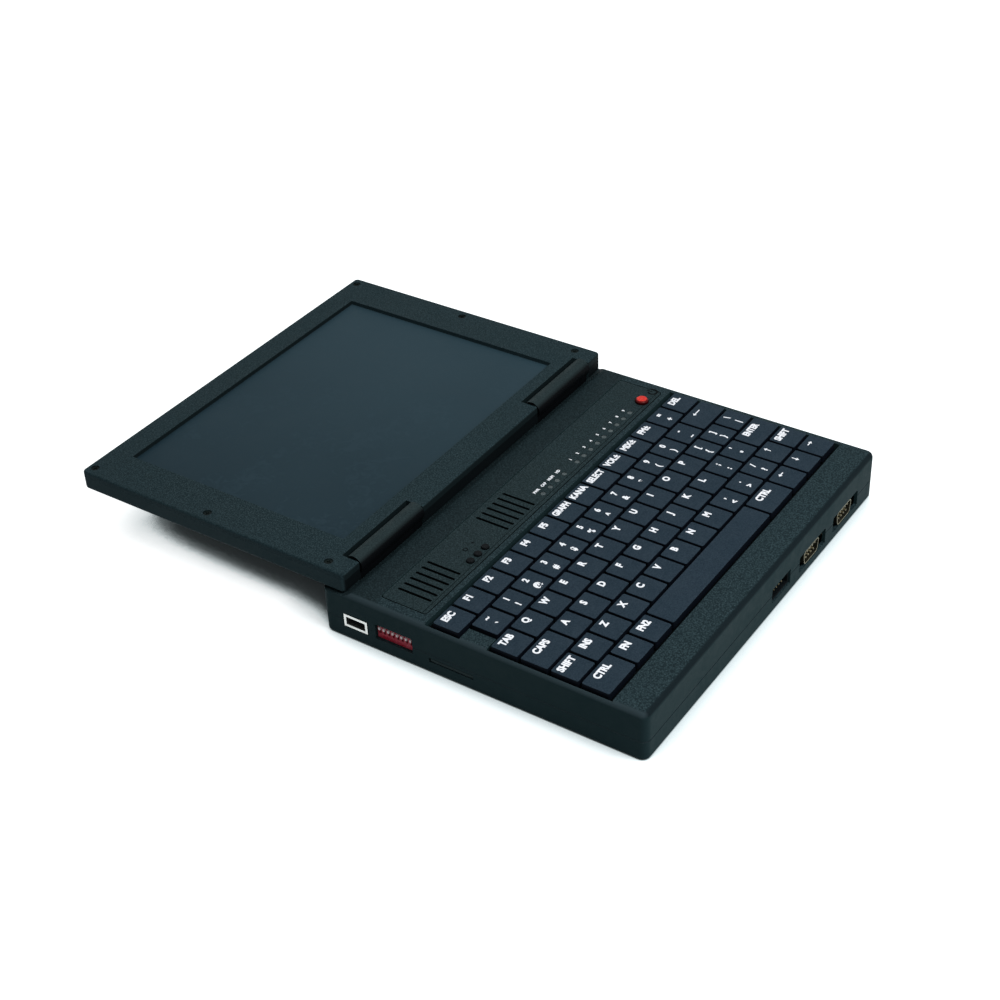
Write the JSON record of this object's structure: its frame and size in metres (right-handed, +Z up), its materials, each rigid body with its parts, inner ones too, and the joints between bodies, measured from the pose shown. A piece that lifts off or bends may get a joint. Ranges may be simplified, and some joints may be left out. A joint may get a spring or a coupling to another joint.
{
  "type": "laptop computer",
  "caption": "Small thick clamshell laptop with its screen lid laid back flat, pressing keys, a grilled control strip, side ports and a friction hinge",
  "frame": {"origin": "on the desk, right below the middle of the hinge axis, with the lid laid back flat", "axes": "+X towards the user's right, +Y from the front edge to the hinge and on over the open lid, +Z up"},
  "size_m": [0.2311, 0.3286, 0.0375],
  "materials": {
    "case_plastic": "fine grained moulded plastic",
    "lid_plastic": "fine grained moulded plastic",
    "panel_plastic": "smooth moulded plastic inlay",
    "key_plastic": "smooth moulded plastic",
    "dark_plastic": "black moulded plastic",
    "board_laminate": "green circuit board laminate",
    "battery_wrap": "battery case",
    "membrane_film": "clear printed film",
    "switch_red": "red moulded plastic",
    "lever_white": "off-white moulded plastic",
    "button_red": "red moulded plastic",
    "light_pipe": "smoked clear light pipes",
    "plated_shell": "plated pressed steel",
    "contact_gold": "plated contacts",
    "screw_steel": "dark plated steel",
    "hinge_steel": "ground steel pin",
    "backing_steel": "pressed sheet steel",
    "screen_glass": "anti-glare coated glass",
    "screen_panel": "display module",
    "foot_rubber": "soft rubber"
  },
  "bodies": {
    "base": {"base_bottom_shell": "case_plastic", "base_top_shell": "case_plastic", "control_panel": "panel_plastic", "control_board": "board_laminate", "status_lights": "light_pipe", "speakers": "dark_plastic", "keyboard_frame": "dark_plastic", "keyboard_membrane": "membrane_film", "keyboard_backplate": "backing_steel", "mainboard": "board_laminate", "battery_pack": "battery_wrap", "usb_shell": "plated_shell", "dip_switch_body": "switch_red", "card_slot": "dark_plastic", "dsub_shells": "plated_shell", "connector_bodies": "dark_plastic", "port_pins": "contact_gold", "power_inlet": "dark_plastic", "rubber_feet": "foot_rubber", "base_screws": "screw_steel", "hinge_barrels": "lid_plastic"},
    "lid": {"lid_back_cover": "lid_plastic", "lid_bezel": "lid_plastic", "lid_screws": "screw_steel", "display_glass": "screen_glass", "display_panel": "screen_panel", "display_driver_board": "board_laminate", "hinge_pins": "hinge_steel"},
    "key_escape": {"key_escape": "key_plastic"},
    "key_delete": {"key_delete": "key_plastic"},
    "key_backspace": {"key_backspace": "key_plastic"},
    "key_tab": {"key_tab": "key_plastic"},
    "key_caps_lock": {"key_caps_lock": "key_plastic"},
    "key_enter": {"key_enter": "key_plastic"},
    "key_insert": {"key_insert": "key_plastic"},
    "key_arrow_up": {"key_arrow_up": "key_plastic"},
    "key_arrow_left": {"key_arrow_left": "key_plastic"},
    "key_arrow_down": {"key_arrow_down": "key_plastic"},
    "key_arrow_right": {"key_arrow_right": "key_plastic"},
    "key_space": {"key_space": "key_plastic"},
    "keys_function": {"keys_function": "key_plastic"},
    "keys_number": {"keys_number": "key_plastic"},
    "keys_upper_letter": {"keys_upper_letter": "key_plastic"},
    "keys_home_letter": {"keys_home_letter": "key_plastic"},
    "keys_lower_letter": {"keys_lower_letter": "key_plastic"},
    "keys_shift": {"keys_shift": "key_plastic"},
    "keys_control": {"keys_control": "key_plastic"},
    "keys_fn": {"keys_fn": "key_plastic"},
    "power_button": {"power_button": "button_red"},
    "small_button_1": {"small_button_1": "dark_plastic"},
    "small_button_2": {"small_button_2": "dark_plastic"},
    "small_button_3": {"small_button_3": "dark_plastic"},
    "dip_lever_1": {"dip_lever_1": "lever_white"},
    "dip_lever_2": {"dip_lever_2": "lever_white"},
    "dip_lever_3": {"dip_lever_3": "lever_white"},
    "dip_lever_4": {"dip_lever_4": "lever_white"},
    "dip_lever_5": {"dip_lever_5": "lever_white"},
    "dip_lever_6": {"dip_lever_6": "lever_white"},
    "dip_lever_7": {"dip_lever_7": "lever_white"},
    "dip_lever_8": {"dip_lever_8": "lever_white"}
  },
  "joints": [
    {"name": "lid_hinge", "type": "hinge", "parent": "base", "child": "lid", "pos_m": [0, 0, 0.0327], "axis": [1, 0, 0], "range_deg": [0, 180]},
    {"name": "key_escape_travel", "type": "slide", "parent": "base", "child": "key_escape", "axis": [0, 0, -1], "range_m": [0, 0.0018], "stiffness_N_per_m": 200, "springref_m": -0.0012},
    {"name": "key_delete_travel", "type": "slide", "parent": "base", "child": "key_delete", "axis": [0, 0, -1], "range_m": [0, 0.0018], "stiffness_N_per_m": 200, "springref_m": -0.0012},
    {"name": "key_backspace_travel", "type": "slide", "parent": "base", "child": "key_backspace", "axis": [0, 0, -1], "range_m": [0, 0.0018], "stiffness_N_per_m": 200, "springref_m": -0.0012},
    {"name": "key_tab_travel", "type": "slide", "parent": "base", "child": "key_tab", "axis": [0, 0, -1], "range_m": [0, 0.0018], "stiffness_N_per_m": 200, "springref_m": -0.0012},
    {"name": "key_caps_lock_travel", "type": "slide", "parent": "base", "child": "key_caps_lock", "axis": [0, 0, -1], "range_m": [0, 0.0018], "stiffness_N_per_m": 200, "springref_m": -0.0012},
    {"name": "key_enter_travel", "type": "slide", "parent": "base", "child": "key_enter", "axis": [0, 0, -1], "range_m": [0, 0.0018], "stiffness_N_per_m": 200, "springref_m": -0.0012},
    {"name": "key_insert_travel", "type": "slide", "parent": "base", "child": "key_insert", "axis": [0, 0, -1], "range_m": [0, 0.0018], "stiffness_N_per_m": 200, "springref_m": -0.0012},
    {"name": "key_arrow_up_travel", "type": "slide", "parent": "base", "child": "key_arrow_up", "axis": [0, 0, -1], "range_m": [0, 0.0018], "stiffness_N_per_m": 200, "springref_m": -0.0012},
    {"name": "key_arrow_left_travel", "type": "slide", "parent": "base", "child": "key_arrow_left", "axis": [0, 0, -1], "range_m": [0, 0.0018], "stiffness_N_per_m": 200, "springref_m": -0.0012},
    {"name": "key_arrow_down_travel", "type": "slide", "parent": "base", "child": "key_arrow_down", "axis": [0, 0, -1], "range_m": [0, 0.0018], "stiffness_N_per_m": 200, "springref_m": -0.0012},
    {"name": "key_arrow_right_travel", "type": "slide", "parent": "base", "child": "key_arrow_right", "axis": [0, 0, -1], "range_m": [0, 0.0018], "stiffness_N_per_m": 200, "springref_m": -0.0012},
    {"name": "key_space_travel", "type": "slide", "parent": "base", "child": "key_space", "axis": [0, 0, -1], "range_m": [0, 0.0018], "stiffness_N_per_m": 400, "springref_m": -0.0012},
    {"name": "keys_function_travel", "type": "slide", "parent": "base", "child": "keys_function", "axis": [0, 0, -1], "range_m": [0, 0.0018], "stiffness_N_per_m": 2400, "springref_m": -0.0012},
    {"name": "keys_number_travel", "type": "slide", "parent": "base", "child": "keys_number", "axis": [0, 0, -1], "range_m": [0, 0.0018], "stiffness_N_per_m": 2400, "springref_m": -0.0012},
    {"name": "keys_upper_letter_travel", "type": "slide", "parent": "base", "child": "keys_upper_letter", "axis": [0, 0, -1], "range_m": [0, 0.0018], "stiffness_N_per_m": 2600, "springref_m": -0.0012},
    {"name": "keys_home_letter_travel", "type": "slide", "parent": "base", "child": "keys_home_letter", "axis": [0, 0, -1], "range_m": [0, 0.0018], "stiffness_N_per_m": 2200, "springref_m": -0.0012},
    {"name": "keys_lower_letter_travel", "type": "slide", "parent": "base", "child": "keys_lower_letter", "axis": [0, 0, -1], "range_m": [0, 0.0018], "stiffness_N_per_m": 2000, "springref_m": -0.0012},
    {"name": "keys_shift_travel", "type": "slide", "parent": "base", "child": "keys_shift", "axis": [0, 0, -1], "range_m": [0, 0.0018], "stiffness_N_per_m": 400, "springref_m": -0.0012},
    {"name": "keys_control_travel", "type": "slide", "parent": "base", "child": "keys_control", "axis": [0, 0, -1], "range_m": [0, 0.0018], "stiffness_N_per_m": 400, "springref_m": -0.0012},
    {"name": "keys_fn_travel", "type": "slide", "parent": "base", "child": "keys_fn", "axis": [0, 0, -1], "range_m": [0, 0.0018], "stiffness_N_per_m": 400, "springref_m": -0.0012},
    {"name": "power_button_travel", "type": "slide", "parent": "base", "child": "power_button", "axis": [0, 0, -1], "range_m": [0, 0.0012], "stiffness_N_per_m": 400, "springref_m": -0.0012},
    {"name": "small_button_1_travel", "type": "slide", "parent": "base", "child": "small_button_1", "axis": [0, 0, -1], "range_m": [0, 0.0008], "stiffness_N_per_m": 400, "springref_m": -0.0012},
    {"name": "small_button_2_travel", "type": "slide", "parent": "base", "child": "small_button_2", "axis": [0, 0, -1], "range_m": [0, 0.0008], "stiffness_N_per_m": 400, "springref_m": -0.0012},
    {"name": "small_button_3_travel", "type": "slide", "parent": "base", "child": "small_button_3", "axis": [0, 0, -1], "range_m": [0, 0.0008], "stiffness_N_per_m": 400, "springref_m": -0.0012},
    {"name": "dip_lever_1_slide", "type": "slide", "parent": "base", "child": "dip_lever_1", "axis": [0, 0, -1], "range_m": [0, 0.0022]},
    {"name": "dip_lever_2_slide", "type": "slide", "parent": "base", "child": "dip_lever_2", "axis": [0, 0, -1], "range_m": [0, 0.0022]},
    {"name": "dip_lever_3_slide", "type": "slide", "parent": "base", "child": "dip_lever_3", "axis": [0, 0, -1], "range_m": [0, 0.0022]},
    {"name": "dip_lever_4_slide", "type": "slide", "parent": "base", "child": "dip_lever_4", "axis": [0, 0, -1], "range_m": [0, 0.0022]},
    {"name": "dip_lever_5_slide", "type": "slide", "parent": "base", "child": "dip_lever_5", "axis": [0, 0, -1], "range_m": [0, 0.0022]},
    {"name": "dip_lever_6_slide", "type": "slide", "parent": "base", "child": "dip_lever_6", "axis": [0, 0, -1], "range_m": [0, 0.0022]},
    {"name": "dip_lever_7_slide", "type": "slide", "parent": "base", "child": "dip_lever_7", "axis": [0, 0, -1], "range_m": [0, 0.0022]},
    {"name": "dip_lever_8_slide", "type": "slide", "parent": "base", "child": "dip_lever_8", "axis": [0, 0, -1], "range_m": [0, 0.0022]}
  ]
}
